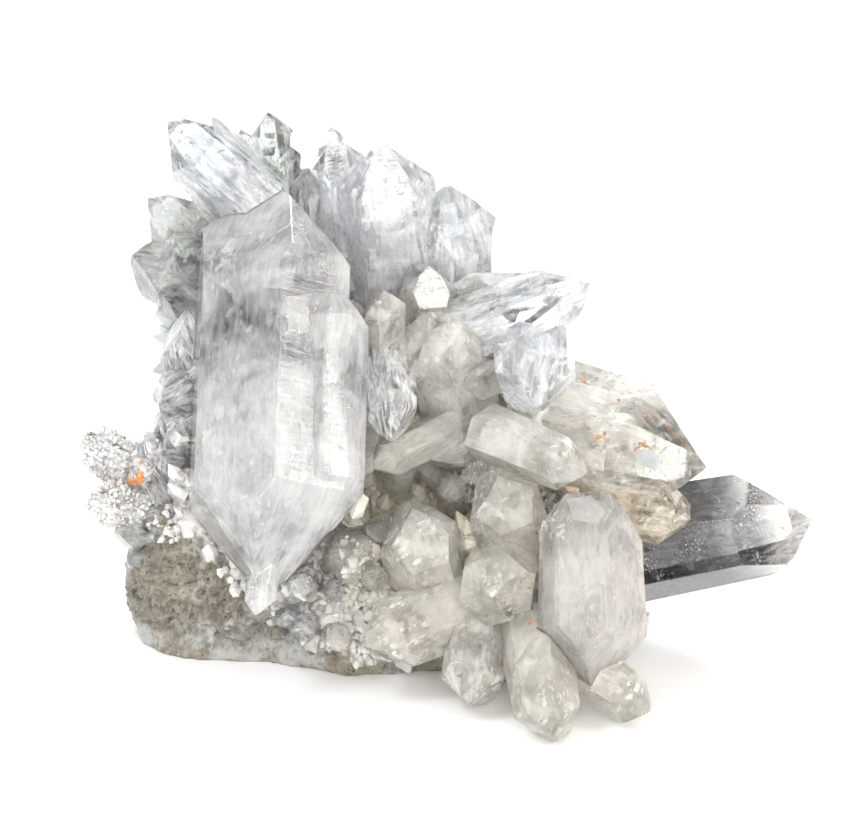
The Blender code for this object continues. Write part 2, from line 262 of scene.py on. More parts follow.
# Quartz finishes. Milk is how white the crystal is at places from its root (0) to its tip (1)
quartzLooks = {
    "milky": {"clear": (0.985, 0.98, 0.965), "milk": (0.76, 0.77, 0.78),
        "rise": ((0.0, 0.25), (0.26, 0.36), (0.45, 0.30), (0.62, 0.22), (0.78, 0.34), (0.95, 0.44)),
        "cloud": 0.45, "size": 60, "fibre": 0.18, "depth": ((0.95, 0.93, 0.90), 5), "gloss": 0.10, "lines": 0.30},
    "cool": {"clear": (0.965, 0.975, 0.985), "milk": (0.91, 0.93, 0.95),
        "rise": ((0.0, 0.45), (0.55, 0.34), (0.95, 0.22)),
        "cloud": 0.6, "size": 110, "fibre": 0.4, "depth": ((0.95, 0.975, 0.99), 4), "gloss": 0.07, "lines": 0.38},
    "silver": {"clear": (0.90, 0.92, 0.935), "milk": (0.72, 0.74, 0.76),
        "rise": ((0.0, 0.40), (0.55, 0.30), (0.95, 0.2)),
        "cloud": 0.7, "size": 110, "fibre": 0.7, "depth": ((0.88, 0.91, 0.94), 8), "gloss": 0.07, "lines": 0.45},
    "white": {"clear": (0.985, 0.985, 0.985), "milk": (0.96, 0.96, 0.965),
        "rise": ((0.0, 0.5), (0.6, 0.45), (0.95, 0.3)),
        "cloud": 0.5, "size": 120, "fibre": 0.9, "depth": ((0.95, 0.95, 0.94), 5), "gloss": 0.08, "lines": 0.45},
    "warm": {"clear": (0.99, 0.965, 0.905), "milk": (0.97, 0.94, 0.87),
        "rise": ((0.0, 0.50), (0.55, 0.34), (0.95, 0.24)),
        "cloud": 0.35, "size": 130, "fibre": 0.12, "depth": ((0.94, 0.90, 0.82), 5), "gloss": 0.05, "lines": 0.36},
    "rusty": {"clear": (0.98, 0.965, 0.93), "milk": (0.95, 0.91, 0.84),
        "rise": ((0.0, 0.42), (0.55, 0.26), (0.95, 0.12)),
        "cloud": 0.7, "size": 100, "fibre": 0.3, "depth": ((0.95, 0.91, 0.83), 6), "gloss": 0.06, "lines": 0.24},
    "honey": {"clear": (0.99, 0.945, 0.84), "milk": (0.98, 0.93, 0.83),
        "rise": ((0.0, 0.40), (0.6, 0.34), (0.95, 0.28)),
        "cloud": 0.5, "size": 140, "fibre": 0.4, "depth": ((0.97, 0.89, 0.74), 9), "gloss": 0.06, "lines": 0.24},
    "water": {"clear": (0.97, 0.96, 0.94), "milk": (0.90, 0.875, 0.84),
        "rise": ((0.0, 0.3), (0.36, 0.04), (0.84, 0.05), (0.95, 0.4)),
        "cloud": 0.2, "size": 160, "fibre": 0.35, "depth": ((0.80, 0.82, 0.86), 12), "gloss": 0.03, "lines": 0.1,
        # painted shade: the long clear point is painted near black along the middle of its length
        "paintedDarkness": ((0.26, 0.95), (0.36, 0.12), (0.70, 0.07), (0.80, 0.75), (0.97, 1.0)), "dust": 1.0},
    "rosy": {"clear": (0.96, 0.935, 0.90), "milk": (0.74, 0.715, 0.675),
        "rise": ((0.0, 0.34), (0.55, 0.30), (0.95, 0.22)),
        "cloud": 0.35, "size": 60, "fibre": 0.15, "depth": ((0.94, 0.89, 0.87), 7), "gloss": 0.10, "lines": 0.12},
    "green": {"clear": (0.86, 0.875, 0.86), "milk": (0.52, 0.54, 0.515),
        "rise": ((0.0, 0.40), (0.6, 0.34), (0.95, 0.26)),
        "cloud": 0.8, "size": 150, "fibre": 0.4, "depth": ((0.86, 0.91, 0.88), 9), "gloss": 0.10, "lines": 0.4},
    "smoky": {"clear": (0.985, 0.965, 0.915), "milk": (0.96, 0.94, 0.90),
        "rise": ((0.0, 0.46), (0.6, 0.36), (0.95, 0.26)),
        "cloud": 0.4, "size": 130, "fibre": 0.12, "depth": ((0.93, 0.91, 0.86), 6), "gloss": 0.05, "lines": 0.36},
}


def quartzMaterial(name, look):
    material, tree, shader = newMaterial(name)
    coords, growth, along = objectPlace(tree), growthPlace(tree), fromAttribute(tree, "along")
    # Milk: more of it at one end, in soft clouds and in fibres along the crystal
    puffs = swing(tree, noiseAt(tree, coords, look["size"], 3.0, 0.68, 0.8), 0.5, look["cloud"] * 2.2)
    threads = swing(tree, noiseAt(tree, growth, 9.0, 2.0, 0.75, 0.6, (1.0, 0.22, 1.0)), 0.52, look["fibre"] * 2.4)
    milk = maths(tree, "ADD", maths(tree, "ADD", ramp(tree, along, *look["rise"]), puffs), threads, clamp=True)
    clear = look["clear"]
    if "paintedDarkness" in look:  # painted shade: near black where the crystal looks through to shade, with white dust in it
        drift = maths(tree, "ADD", along, swing(tree, noiseAt(tree, coords, 120, 3.0), 0.5, 0.12))
        clear = blendColour(tree, ramp(tree, drift, *look["paintedDarkness"]), (0.0, 0.0, 0.005), look["clear"])
        motes = ramp(tree, noiseAt(tree, coords, 2200, 3.0, 0.8), (0.56, 0.0), (0.66, look["dust"]))
        where = ramp(tree, noiseAt(tree, coords, 140, 3.0), (0.42, 0.1), (0.62, 1.0))
        milk = maths(tree, "MAXIMUM", milk, maths(tree, "MULTIPLY", motes, where))
    # Growth lines run across the prism faces, finer and coarser in places
    bands = noiseAt(tree, growth, 3.2, 3.0, 0.8, 0.0, (0.22, 3.4, 1.0))
    feed(tree, shader, {
        "Base Color": blendColour(tree, milk, clear, look["milk"]),
        "Transmission Weight": maths(tree, "SUBTRACT", 1.0, maths(tree, "MULTIPLY", milk, 0.9), clamp=True),
        "Roughness": maths(tree, "MULTIPLY_ADD", milk, 0.14, look["gloss"] * 0.4),
        "IOR": quartz["ior"], "Normal": bumpFrom(tree, bands, look["lines"], 0.0003)})
    colour, density = look["depth"]
    depth = addNode(tree, "ShaderNodeVolumeAbsorption", {"Color": colour, "Density": density})
    feed(tree, tree.nodes["Material Output"], {"Volume": depth.outputs["Volume"]})
    return material


quartzMaterials = {name: quartzMaterial(name + "Quartz", look) for name, look in quartzLooks.items()}


def markGrowth(mesh, owners, names):  # each face gets its crystal's finish, and its place along and across the crystal
    along = mesh.attributes.new("along", "FLOAT", "CORNER")
    growth = mesh.uv_layers.new(name="growth")
    for face, crystal in zip(mesh.polygons, owners):
        face.material_index = names.index(crystal["look"])
        facing = crystal["inverse"].to_3x3() @ face.normal
        across = Vector((-facing.y, facing.x, 0))
        across = across.normalized() if across.length > 0.05 else Vector((1, 0, 0))
        for corner in face.loop_indices:
            local = crystal["inverse"] @ mesh.vertices[mesh.loops[corner].vertex_index].co
            along.data[corner].value = local.z / crystal["length"]
            growth.data[corner].uv = (local.dot(across) / (10 * mm) + crystal["seed"], local.z / (10 * mm))


def crystalPiece(name, slot, finishes, blocks):  # several crystals' blocks as one piece
    looks = sorted({crystal["look"] for crystal, block in blocks})
    heap = bmesh.new()
    owners = []
    for crystal, block in blocks:
        owners += [crystal] * pourInto(heap, block)
    mesh = meshOf(heap, name, [finishes[look] for look in looks])
    markGrowth(mesh, owners, looks)
    finishPiece(addPiece(name, mesh), slot)


def dressCluster(cluster):  # the node's own shape, with ground edges, growth lines and a finish for each crystal
    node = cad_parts[cluster["node"]]
    crystals = cluster["crystals"]
    names = sorted({crystal["look"] for crystal in crystals})
    shell = bmesh.new()
    shell.from_mesh(node.data)
    bmesh.ops.remove_doubles(shell, verts=shell.verts[:], dist=1e-5)
    bmesh.ops.dissolve_limit(shell, angle_limit=math.radians(quartz["sameFace"]), verts=shell.verts[:],
                             edges=shell.edges[:])
    obj = addPiece(cluster["node"] + "_quartz", meshOf(shell, cluster["node"] + "_quartz"))
    bevel = obj.modifiers.new("ground", "BEVEL")
    bevel.width = quartz["edge"] * mm
    bevel.segments = 2
    bevel.limit_method = "ANGLE"
    bevel.angle_limit = math.radians(quartz["edgeCut"])
    settle(obj)
    mesh = obj.data
    mesh.materials.clear()
    for name in names:
        mesh.materials.append(quartzMaterials[name])
    centres = np.array([face.center for face in mesh.polygons])
    owners = np.argmin([abs(outside(crystal, centres)) for crystal in crystals], axis=0)
    markGrowth(mesh, [crystals[owner] for owner in owners], names)
    finishPiece(obj, cluster["node"], cluster["node"])
    return obj


clusters = [
    {"node": "great_front_crystal", "crystals": [
        point((-36.4, 27.8, 8), (-34, 109.2, -12), 15.2, -25, minor=0.2, doubled=True, uneven=0.03, seed=3,
              taper=0.4, setback={5: 0.6}, look="milky"),
        point((-27, 38, 7), (-25.2, 92.2, -4), 9.3, -25, minor=0.3, doubled=True, uneven=0.06, seed=8,
              taper=0.3, look="milky"),
        point((-35.5, 36, 7), (-37.8, 23.4, 10), 2.8, 10, seed=4, look="milky")]},
    {"node": "top_crystals", "crystals": [
        point((-37, 105, -16), (-55.6, 121.5, -4), 6.3, 10, seed=5, look="silver"),
        point((-34, 96, -30), (-36, 124.2, -18), 4.9, 20, seed=6, look="green"),
        point((-37, 98, -30), (-41.5, 121.0, -20), 3.6, 5, seed=7, look="green"),
        point((-31, 98, -28), (-31.5, 117.4, -16), 2.8, 15, seed=9, look="green"),
        point((-36, 96, -24), (-39, 114.0, -10), 4.6, 20, seed=10, look="warm")]},
    {"node": "upper_crystals", "crystals": [
        point((-19, 92, -30), (-22.5, 119, -12), 5.8, 12, seed=12, look="cool"),
        point((-10, 90, -30), (-13.2, 118.2, -3), 9.0, 0, seed=13, minor=0.15, look="cool"),
        point((-23.4, 104, -20), (-23.0, 121.4, -15), 2.6, 12, seed=14, look="cool"),
        point((1.5, 78, -34), (1.5, 109.2, -13), 8.2, 22, seed=15, look="cool")]},
    {"node": "middle_crystals", "crystals": [
        point((-9, 75, -20), (28.4, 89.6, -2), 7.0, 20, seed=16, look="cool"),
        point((2, 88, -18), (27.4, 88.8, -10), 3.8, 25, seed=17, look="cool"),
        point((17.0, 84, -20), (18.2, 64.8, 2), 7.4, -18, seed=18, look="cool"),
        point((-12.8, 80, -16), (-11.2, 58.4, 2), 5.0, 14, seed=32, look="white"),
        point((-12.0, 72, -16), (-12.4, 88.2, -3), 4.0, 22, seed=44, look="smoky"),
        point((3.0, 64, -22), (-3.2, 83.4, -2), 7.4, 30, seed=33, look="smoky"),
        point((-4, 72, -26), (-3.2, 93.0, -8), 5.8, 10, seed=45, look="smoky")]},
    {"node": "rusty_crystals", "crystals": [
        point((20, 62, -26), (51.6, 53.4, -3), 12.4, 15, minor=0.15, seed=19, look="rusty"),
        point((8, 60, -10), (27.6, 51.6, 6), 4.9, 12, seed=20, look="smoky"),
        point((28, 48, -18), (47.8, 42.4, 4), 6.0, 10, seed=21, look="honey"),
        point((-2, 58, -26), (13.6, 49.4, -8), 3.6, 15, seed=34, look="warm"),
        point((7, 62, -22), (11, 59, -8), 3.4, 25, seed=36, look="warm"),
        point((-6, 55, -26), (6.0, 46.0, -12), 3.0, 5, seed=35, look="warm")]},
    {"node": "long_clear_point", "crystals": [
        point((18, 31.5, -30), (73.8, 42, -12), 10.2, 14, seed=22, look="water")]},
    {"node": "front_right_crystal", "crystals": [
        point((29.0, 9.6, 14), (28.4, 50, 8), 10.6, -10, squash=0.8, blunt=0.25, doubled=True, seed=23,
              look="rosy")]},
    {"node": "lower_crystals", "crystals": [
        point((14.5, 36, -12), (10.4, 50.8, 8), 7.0, 10, seed=24, look="warm"),
        point((13, 32, -8), (9.6, 27.2, 18), 7.2, 20, seed=25, look="warm"),
        point((-2, 28, -12), (-6.6, 44.2, 8), 7.4, 5, seed=26, minor=0.5, look="warm"),
        point((6, 26, -8), (-16.4, 17.4, 8), 6.4, 12, seed=27, look="warm"),
        point((8, 24, -6), (4.6, 6.4, 14), 6.0, 18, seed=28, look="rusty")]},
    {"node": "foot_crystals", "crystals": [
        point((18, 20, 2), (21.0, 0.8, 29), 6.1, 8, seed=29, look="warm"),
        point((20, 17, 0), (39.6, 4.4, 19), 5.0, 16, seed=30, look="warm"),
        point((20, 20, 4), (16.0, 10, 21), 4.0, 0, seed=31, look="warm")]},
    {"node": "left_crystals", "crystals": [
        point((-48, 96, -34), (-60.6, 107, -24), 6.6, 8, seed=37, look="green"),
        point((-48, 89, -33), (-63.6, 95.5, -22), 7.4, 27, seed=38, look="green"),
        point((-50, 92, -30), (-54.0, 98, -16), 5.2, 12, seed=39, look="green")]},
    {"node": "left_middle_crystals", "crystals": [
        point((-48, 66, -26), (-51.8, 84, -12), 6.4, 18, seed=40, look="white"),
        point((-50, 70, -24), (-57.0, 66, -10), 4.6, 4, seed=41, look="white")]},
    {"node": "left_edge_points", "crystals": [
        point((-57, 47, -30), (-74.0, 58.8, -18), 4.6, 15, seed=42, look="white"),
        point((-58, 44, -26), (-72.4, 45.4, -14), 4.2, 5, seed=43, look="white")]},
]
allCrystals = [prepare(crystal) for cluster in clusters for crystal in cluster["crystals"]]
for cluster in clusters:
    dressCluster(cluster)
print("crystals dressed:", len(allCrystals))

# Short names for the nodes that the lists below name most
great, middle, rusty, lower, upper = ("great_front_crystal", "middle_crystals", "rusty_crystals", "lower_crystals",
                                      "upper_crystals")


# Inside the crystals: healed cracks like wavy lace, bright flakes, rust stains, and panes of painted shade and painted
# reflection
def meshFrom(name, spots, faces, material):
    used = sorted({index for face in faces for index in face})
    fresh = {old: new for new, old in enumerate(used)}
    mesh = bpy.data.meshes.new(name)
    mesh.from_pydata([tuple(spots[index]) for index in used], [], [[fresh[index] for index in face] for face in faces])
    mesh.materials.append(material)
    mesh.update()
    return addPiece(name, mesh)


def veilMaterial(name, colour, rough):
    material, tree, shader = newMaterial(name)
    shade = tuple(0.86 * part for part in colour)
    cloud = noiseAt(tree, objectPlace(tree), 420, 5.0, 0.65)
    feed(tree, shader, {"Base Color": ramp(tree, cloud, (0.35, shade), (0.65, colour)), "Roughness": rough})
    return material


veils = {"step": 0.42, "margin": 0.45, "wave": 1.0, "hole": 0.14, "seed": 5, "perCrystal": 3, "largest": 8.0}
veilFinish = veilMaterial("healedCrack", (0.93, 0.925, 0.91), 0.18)


def veilSheet(crystal, centre, tilt, half, dice, spots, faces):  # a wavy grid inside the crystal, torn into lace
    count = max(int(2 * half / veils["step"]), 4)
    side = tilt.orthogonal().normalized()
    other = tilt.cross(side)
    ticks = np.linspace(-half, half, count) * mm
    first, second = (grid.ravel()[:, None] for grid in np.meshgrid(ticks, ticks))
    flat = np.array(centre) + first * np.array(side) + second * np.array(other)
    drift = Vector((dice.uniform(-5, 5), dice.uniform(-5, 5), dice.uniform(-5, 5)))
    wave = np.array([noise.noise(Vector(spot) * 170 + drift) for spot in flat])
    lace = np.array([noise.fractal(Vector(spot) * 480 + drift, 0.7, 2.1, 4) for spot in flat])
    rim = np.hypot(first, second).ravel() / (half * mm)
    bent = flat + wave[:, None] * veils["wave"] * mm * np.array(tilt)
    kept = (outside(crystal, bent) < -veils["margin"] * mm) & (lace > veils["hole"] + 0.5 * rim ** 3) & (rim < 1)
    base = len(spots)
    spots.extend(bent)
    for row in range(count - 1):
        for column in range(count - 1):
            corner = row * count + column
            square = (corner, corner + 1, corner + count + 1, corner + count)
            if all(kept[index] for index in square):
                faces.append([base + index for index in square])


def scatter(dice, x, y, z):  # a random offset with these spreads
    return Vector((dice.gauss(0, x), dice.gauss(0, y), dice.gauss(0, z)))


def inside(crystal, dice, low=0.1, high=0.95, spread=0.6):  # a random place in the crystal
    reach = crystal["radius"] * spread
    return crystal["frame"] @ Vector((dice.uniform(-reach, reach), dice.uniform(-reach, reach),
                                      dice.uniform(low, high) * crystal["length"]))


def crackCluster(cluster):
    dice = random.Random(veils["seed"] + len(cluster["node"]))
    spots, faces = [], []
    for crystal in cluster["crystals"]:
        for count in range(veils["perCrystal"]):
            tilt = scatter(dice, 1, 1, 0.8).normalized()
            half = min(dice.uniform(0.5, 1.3) * crystal["radius"] / mm, veils["largest"])
            veilSheet(crystal, inside(crystal, dice, 0.2), tilt, half, dice, spots, faces)
    finishPiece(meshFrom(cluster["node"] + "_veils", spots, faces, veilFinish), cluster["node"])
    return len(faces)


print("veil faces:", sum(crackCluster(cluster) for cluster in clusters))


flakes = {"perCrystal": 110, "size": (0.12, 0.75), "margin": 0.4, "seed": 21, "directions": 4, "corners": 5}
flakeFinish = veilMaterial("brightFlake", (1.0, 1.0, 1.0), 0.12)


def flakeCluster(cluster):  # thin plates in a few shared directions, which flash together
    dice = random.Random(flakes["seed"] + len(cluster["node"]))
    spots, faces = [], []
    for crystal in cluster["crystals"]:
        ways = [scatter(dice, 1, 1, 1).normalized() for k in range(flakes["directions"])]
        amount = int(flakes["perCrystal"] * min(crystal["radius"] / (6 * mm), 2.5))
        centres = np.array([inside(crystal, dice, 0.15, 1.0, 0.9) for k in range(amount)])
        for spot in centres[outside(crystal, centres) < -flakes["margin"] * mm]:
            facing = (dice.choice(ways) + scatter(dice, 0.15, 0.15, 0.15)).normalized()
            side = facing.orthogonal().normalized()
            other = facing.cross(side)
            size = dice.uniform(*flakes["size"]) ** 1.3 * mm
            longer = dice.uniform(1, 2.6)
            base = len(spots)
            for k in range(flakes["corners"]):
                angle = math.tau * (k + dice.uniform(-0.3, 0.3)) / flakes["corners"]
                spots.append(Vector(spot) + size * (longer * math.cos(angle) * side + math.sin(angle) * other))
            faces.append(list(range(base, base + flakes["corners"])))
    finishPiece(meshFrom(cluster["node"] + "_flakes", spots, faces, flakeFinish), cluster["node"])


for cluster in clusters:
    flakeCluster(cluster)
print("flakes set in the crystals")


# Milky phantoms: nested earlier shapes inside the clear shell, opaque only in clouds
phantoms = [
    {"node": great, "index": 0, "shells": (2.2, 6.0),
     "rise": ((0.0, 0.2), (0.22, 0.7), (0.46, 0.6), (0.62, 0.05), (0.72, 0.0)),
     "colour": (0.77, 0.78, 0.795)},
    {"node": great, "index": 1, "shells": (1.6, 4.2),
     "rise": ((0.0, 0.8), (0.30, 0.7), (0.50, 0.2), (0.62, 0.0)),
     "colour": (0.77, 0.78, 0.795)},
    {"node": "front_right_crystal", "index": 0, "shells": (1.9, 4.6),
     "rise": ((0.0, 0.3), (0.25, 0.4), (0.58, 0.85), (0.66, 0.1), (0.78, 0.0)),
     "colour": (0.76, 0.74, 0.71)},
]
cores = {"share": 0.5, "rise": ((0.0, 1.0), (0.30, 0.9), (0.50, 0.1), (0.62, 0.0)),
         "skip": (great, "front_right_crystal", "long_clear_point"),
         "colours": {"warm": (0.965, 0.945, 0.895), "smoky": (0.96, 0.94, 0.89), "rusty": (0.97, 0.96, 0.93),
                     "honey": (0.96, 0.90, 0.79), "cool": (0.95, 0.965, 0.985), "silver": (0.80, 0.82, 0.84),
                     "white": (0.97, 0.97, 0.975), "green": (0.87, 0.90, 0.88)}}


def phantomMaterial(name, rise, colour, streaky=1.4):
    material, tree, shader = newMaterial(name)
    along = fromAttribute(tree, "along")
    cloud = maths(tree, "MULTIPLY_ADD", noiseAt(tree, objectPlace(tree), 170, 3.0, 0.7, 0.6), 1.6, -0.8)
    milk = maths(tree, "ADD", ramp(tree, along, *rise), cloud)
    if streaky:
        streaks = noiseAt(tree, growthPlace(tree), 12.0, 3.0, 0.75, 0.4, (1.0, 0.2, 1.0))
        milk = maths(tree, "ADD", milk, maths(tree, "MULTIPLY_ADD", streaks, streaky, -0.5 * streaky))
    milk = maths(tree, "MULTIPLY", milk, ramp(tree, along, (rise[-2][0], 1.0), (rise[-1][0], 0.0)), clamp=True)
    feed(tree, shader, {"Transmission Weight": maths(tree, "SUBTRACT", 1.0, milk, clamp=True),
                        "Base Color": colour, "Roughness": 0.0, "IOR": 1.0})
    return material


def buildPhantoms():
    for count, phantom in enumerate(phantoms):
        crystal = crystalOf(phantom["node"], phantom["index"])
        finish = phantomMaterial("milkyPhantom" + str(count + 1), phantom["rise"], phantom["colour"])
        crystalPiece("phantom_" + str(count + 1), phantom["node"], {crystal["look"]: finish},
                     [(crystal, crystalBlock(crystal, -shell * mm)) for shell in phantom["shells"]])


def buildCores():  # the other crystals are milky in the middle of their lower part
    finishes = {look: phantomMaterial(look + "Core", cores["rise"], colour, 0)
                for look, colour in cores["colours"].items()}
    for cluster in clusters:
        if cluster["node"] not in cores["skip"]:
            blocks = [(crystal, crystalBlock(crystal, -cores["share"] * crystal["radius"]))
                      for crystal in cluster["crystals"]]
            crystalPiece(cluster["node"] + "_cores", cluster["node"], finishes, blocks)


def crystalsOf(node):
    return next(cluster for cluster in clusters if cluster["node"] == node)["crystals"]


def crystalOf(node, index):
    return crystalsOf(node)[index]


buildPhantoms()
buildCores()
print("phantoms set:", len(phantoms))


sightline = (45.0, -50.0, -0.1)  # first depth, last depth and step along a line of sight, in millimetres


def onFront(crystals, x, y, sink):  # where a pixel's line of sight meets the crystals, sunk a little below their face
    line = np.array([fromPhoto(x, y, depth) for depth in np.arange(*sightline)])
    hits = np.nonzero(np.min([outside(crystal, line) for crystal in crystals], axis=0) < -sink * mm)[0]
    return Vector(line[hits[0]]) if len(hits) else None


stains = {"sink": 0.35, "size": 0.8, "seed": 3, "spots": [
    (571, 416, 0.8), (576, 420, 0.6), (602, 436, 1.3), (606, 441, 0.9), (619, 402, 0.7), (617, 398, 0.5),
    (647, 415, 1.0), (651, 419, 0.6), (671, 431, 0.9), (676, 434, 0.6), (656, 388, 0.8), (651, 384, 0.5),
    (660, 393, 0.5), (645, 444, 1.2), (651, 447, 0.8), (594, 475, 0.6), (586, 378, 0.8), (590, 384, 0.9),
    (597, 376, 0.6), (683, 442, 0.5), (637, 450, 0.5)]}


def rustMaterial():
    material, tree, shader = newMaterial("rustStain")
    tone = ramp(tree, noiseAt(tree, objectPlace(tree), 900, 4.0),
                (0.35, (0.45, 0.16, 0.05)), (0.6, (0.85, 0.40, 0.16)), (0.8, (0.92, 0.62, 0.38)))
    feed(tree, shader, {"Base Color": tone, "Roughness": 0.7})
    return material


rustFinish = rustMaterial()


def bloomPiece(name, slot, blobs, ragged, grain):  # ragged blooms of iron rust, each a centre and three reaches
    bloom = bmesh.new()
    for centre, reach in blobs:
        matrix = Matrix.Translation(centre) @ Matrix.Diagonal((*reach, 1))
        for vert in bmesh.ops.create_icosphere(bloom, subdivisions=2, radius=1.0, matrix=matrix)["verts"]:
            vert.co += (vert.co - centre) * ragged * noise.noise(vert.co * grain)
    finishPiece(addPiece(name, meshOf(bloom, name, [rustFinish])), slot)


def buildStains():  # just under the faces of the rusty crystal
    dice = random.Random(stains["seed"])
    blobs = []
    for x, y, size in stains["spots"]:
        centre = onFront([crystalOf(rusty, 0)], x, y, stains["sink"])
        for k in range(5 if centre else 0):
            reach = size * stains["size"] * dice.uniform(0.25, 0.6) * mm
            blobs.append((centre + scatter(dice, 1, 0.4, 0.8) * size * 0.45 * mm, Vector((1.0, 0.35, 0.7)) * reach))
    bloomPiece("rust_stains", "rusty_crystals", blobs, 0.6, 2500)


buildStains()
print("rust stains set")


# Flat panes inside the crystals: painted shade in near black or grey, and a painted bluish reflection
panes = {
    # painted shade: near-black sheets where a face or a cleft shows only shade
    "paintedShadePane": {"colour": (0.045, 0.047, 0.055), "clear": 0.0, "rough": 0.25, "sink": 0.5, "at": [
        (middle, 0, ((497, 305), (521, 309), (515, 322), (507, 319))),
        (middle, 0, ((524, 321), (545, 306), (559, 296), (557, 303), (532, 323))),
        (middle, 0, ((543, 303), (549, 296), (554, 296), (549, 304))),
        ("top_crystals", None, ((262, 130), (273, 130), (272, 136), (264, 135))),
        ("top_crystals", None, ((261, 146), (273, 144), (272, 152), (263, 152))),
        (great, 0, ((239, 296), (242, 294), (241, 334), (238, 332))),
        (great, 0, ((247, 303), (249, 300), (249, 326), (247, 328))),
        (great, 0, ((253, 306), (256, 303), (255, 322), (253, 325))),
        (rusty, 1, ((547, 432), (549, 430), (548, 442), (546, 443))),
        (rusty, 1, ((524, 417), (526, 416), (526, 428), (524, 429))),
        (rusty, 1, ((530, 418), (532, 417), (532, 430), (530, 431)))]},
    # painted shade: grey sheets over the grey windows
    "paintedGreyShadePane": {"colour": (0.50, 0.50, 0.52), "clear": 0.35, "rough": 0.2, "sink": 0.7, "at": [
        (great, 0, ((262, 271), (295, 270), (291, 291), (265, 289))),
        (great, 0, ((286, 298), (308, 295), (309, 333), (289, 335))),
        (great, 1, ((308, 316), (348, 314), (358, 322), (345, 348), (318, 350))),
        (upper, 3, ((454, 198), (462, 200), (478, 218), (488, 240), (480, 238), (466, 216))),
        (middle, None, ((446, 320), (458, 332), (470, 358), (460, 370), (452, 347))),
        (rusty, 1, ((535, 428), (556, 432), (574, 448), (570, 462), (548, 455))),
        ("front_right_crystal", 0, ((566, 500), (590, 496), (604, 512), (596, 524), (572, 520)))]},
    # painted reflection: bluish sheets in place of a reflected sky
    "paintedSkyReflectionPane": {"colour": (0.62, 0.72, 0.82), "clear": 0.15, "rough": 0.12, "sink": 0.5, "at": [
        (rusty, 0, ((634, 452), (652, 447), (662, 462), (656, 470), (640, 465))),
        (upper, 3, ((440, 205), (455, 200), (462, 232), (450, 238)))]},
}


def buildPanes(name, pane):
    material, tree, shader = newMaterial(name)
    lighter = tuple(min(1.9 * part, 0.9) for part in pane["colour"])
    shade = ramp(tree, noiseAt(tree, objectPlace(tree), 500, 4.0, 0.7), (0.35, pane["colour"]), (0.75, lighter))
    feed(tree, shader, {"Base Color": shade, "Transmission Weight": pane["clear"], "Roughness": pane["rough"]})
    spots, faces = [], []
    for node, index, corners in pane["at"]:
        crystals = crystalsOf(node) if index is None else [crystalOf(node, index)]
        found = [onFront(crystals, x, y, pane["sink"]) for x, y in corners]
        if all(spot is not None for spot in found):
            faces.append(list(range(len(spots), len(spots) + len(found))))
            spots.extend(found)
    finishPiece(meshFrom(name, spots, faces, material), pane["at"][0][0])
    print(name, len(faces), "of", len(pane["at"]))


for name, pane in panes.items():
    buildPanes(name, pane)


# Cracks that the photograph shows one by one: node, crystal, pixel, sink and half size in millimetres
placedCracks = [
    (great, 0, 250, 350, 1.6, 3.6), (great, 0, 240, 356, 2.2, 3.0), (great, 1, 297, 360, 1.5, 3.4),
    (great, 0, 262, 236, 2.0, 4.0), (great, 0, 225, 250, 1.6, 3.2), (great, 0, 215, 440, 1.4, 5.0),
    (great, 0, 262, 510, 1.4, 4.0), (great, 1, 322, 480, 1.4, 4.5), (great, 0, 250, 560, 1.6, 4.4),
    (upper, 1, 375, 175, 1.6, 4.2), (upper, 1, 395, 215, 2.0, 4.6), (upper, 1, 360, 240, 1.4, 4.0),
    ("top_crystals", 0, 195, 150, 1.2, 3.6), ("top_crystals", 0, 215, 180, 1.0, 3.2),
    ("front_right_crystal", 0, 585, 600, 1.4, 3.6), (rusty, 0, 610, 420, 1.6, 5.0), (rusty, 0, 660, 440, 1.4, 4.5),
    (rusty, 0, 590, 400, 2.0, 4.5), (lower, 2, 412, 545, 1.2, 4.0), (lower, 0, 498, 510, 1.2, 3.6),
    (lower, 1, 492, 590, 1.2, 4.0), (lower, 3, 380, 628, 1.2, 4.0), (middle, 3, 388, 380, 1.0, 3.4),
    (middle, 5, 440, 345, 1.2, 4.0)]
crackSeed = 44


def buildPlacedCracks():
    dice = random.Random(crackSeed)
    spots, faces = [], []
    for node, index, x, y, sink, half in placedCracks:
        centre = onFront([crystalOf(node, index)], x, y, sink)
        if centre is not None:
            tilt = (out + scatter(dice, 0.5, 0.5, 0.5)).normalized()
            veilSheet(crystalOf(node, index), centre, tilt, half, dice, spots, faces)
    finishPiece(meshFrom("placed_cracks", spots, faces, veilFinish), "great_front_crystal")


buildPlacedCracks()
print("placed cracks set:", len(placedCracks))


hollow = {"centre": (-3, 53, -12), "reach": 38.0, "deep": 20}  # the brownish recess between the crystals
mossy = {"centre": (-54, 92, -22), "reach": 34.0, "colour": (0.84, 0.88, 0.85)}  # greenish grey crystals, upper left


# Rock: the CAD rock's form, weathered, with a sandy broken face at the lower left
rock = {"voxel": 0.85, "inset": 0.45, "lumps": 1.5, "lumpSize": 9.0, "crags": 1.5, "cragSize": 3.0,
        "grain": 0.45, "grainSize": 1.1, "pushed": (-3.0, 0.35), "floor": 0.02, "underside": 4.0,
        "bareLeft": -64.0, "bareTop": 46.0, "bareSlope": 0.78, "sugarPatch": (-57, 50, 13),
        "sand": ((0.30, (0.22, 0.21, 0.18)), (0.44, (0.42, 0.405, 0.355)), (0.58, (0.57, 0.55, 0.50)),
                 (0.8, (0.80, 0.79, 0.76))),
        "patches": ((0.36, (0.97, 0.93, 0.85)), (0.52, (0.88, 0.87, 0.84)), (0.66, (0.72, 0.73, 0.72))),
        "crust": ((0.35, (0.84, 0.78, 0.65)), (0.6, (0.93, 0.90, 0.82)), (0.8, (0.96, 0.95, 0.92)))}


